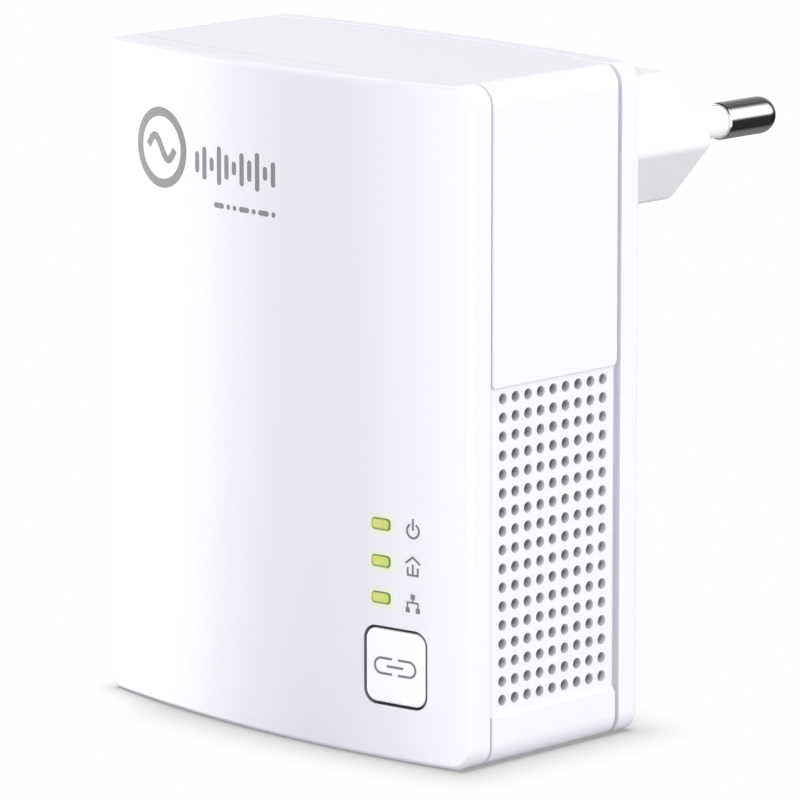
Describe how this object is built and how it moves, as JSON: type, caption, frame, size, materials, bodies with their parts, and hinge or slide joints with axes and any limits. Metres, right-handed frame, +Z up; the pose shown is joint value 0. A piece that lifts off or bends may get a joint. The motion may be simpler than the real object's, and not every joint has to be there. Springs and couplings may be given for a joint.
{
  "type": "powerline network adapter",
  "caption": "Plug-in mains network adapter: barrel-sided white three-shell casing with side vents, status lights, sprung button, ethernet socket and a hexagonal two-pin plug.",
  "frame": {"origin": "middle of the bounding box in X and Y, on the bottom face in Z", "axes": "+Z up with the adapter standing on its bottom face, -Y out of the front face, +Y towards the wall along the plug pins, +X to the right seen from the front"},
  "size_m": [0.0536, 0.0668, 0.07],
  "materials": {
    "casing": "satin-gloss white moulding",
    "button": "satin-gloss white moulding",
    "light_pipe": "clear moulding lit green",
    "label": "blank silver-grey film",
    "pin_metal": "nickel plated brass",
    "sleeve": "white insulating sleeve",
    "inner_plastic": "black moulding",
    "black_plastic": "black moulding",
    "steel": "zinc plated",
    "gold": "gold flashed",
    "brass": "plain",
    "board": "green solder mask",
    "led": "lit",
    "chip": "moulded package",
    "heat_sink": "extruded",
    "pad": "silicone pad",
    "ferrite": "sintered",
    "copper": "enamelled copper",
    "tape": "yellow tape",
    "capacitor_sleeve": "shrink sleeve",
    "film_capacitor": "moulded case",
    "disc_blue": "dipped coating"
  },
  "bodies": {
    "casing": {"front_cover": "casing", "mid_housing": "casing", "rear_cover": "casing", "rating_label": "label", "plug_pins": "pin_metal", "pin_sleeves": "sleeve", "pin_terminals": "brass", "pin_retainer": "inner_plastic", "retainer_screws": "steel", "led_light_pipe": "light_pipe", "switch_base": "black_plastic", "switch_cover": "steel", "switch_contacts": "brass", "main_board": "board", "board_screws": "steel", "case_screws": "steel", "status_leds": "led", "powerline_chip": "chip", "thermal_pad": "pad", "heat_sink": "heat_sink", "ethernet_phy_chip": "chip", "memory_chips": "chip", "crystals": "steel", "ethernet_transformer": "chip", "regulator_chips": "chip", "power_inductors": "chip", "ethernet_jack_housing": "black_plastic", "ethernet_jack_shield": "steel", "ethernet_contacts": "gold", "power_board": "board", "power_board_screws": "steel", "header_body": "black_plastic", "header_pins": "gold", "fuse": "chip", "varistor": "disc_blue", "x_capacitor": "film_capacitor", "choke_core": "ferrite", "choke_base": "inner_plastic", "choke_winding": "copper", "bulk_capacitors": "capacitor_sleeve", "bridge_rectifier": "chip", "switching_chip": "chip", "transformer_bobbin": "inner_plastic", "transformer_winding": "tape", "transformer_core": "ferrite", "y_capacitor": "disc_blue", "optocoupler": "chip", "output_capacitors": "capacitor_sleeve", "output_diode": "chip", "inductor_core": "ferrite", "inductor_winding": "copper", "coupling_transformer": "tape", "coupling_capacitor": "film_capacitor", "insulation_sheet": "black_plastic"},
    "pair_button": {"pair_button": "button"},
    "switch_plunger": {"switch_plunger": "black_plastic"}
  },
  "joints": [
    {"name": "pair_button_press", "type": "slide", "parent": "casing", "child": "pair_button", "axis": [0, 1, 0], "range_m": [0, 0.0004], "stiffness_N_per_m": 2500},
    {"name": "switch_plunger_press", "type": "slide", "parent": "casing", "child": "switch_plunger", "axis": [0, 1, 0], "range_m": [0, 0.0004]}
  ],
  "couplings": [
    {"joint": "switch_plunger_press", "follows": "pair_button_press", "ratio": 1}
  ]
}
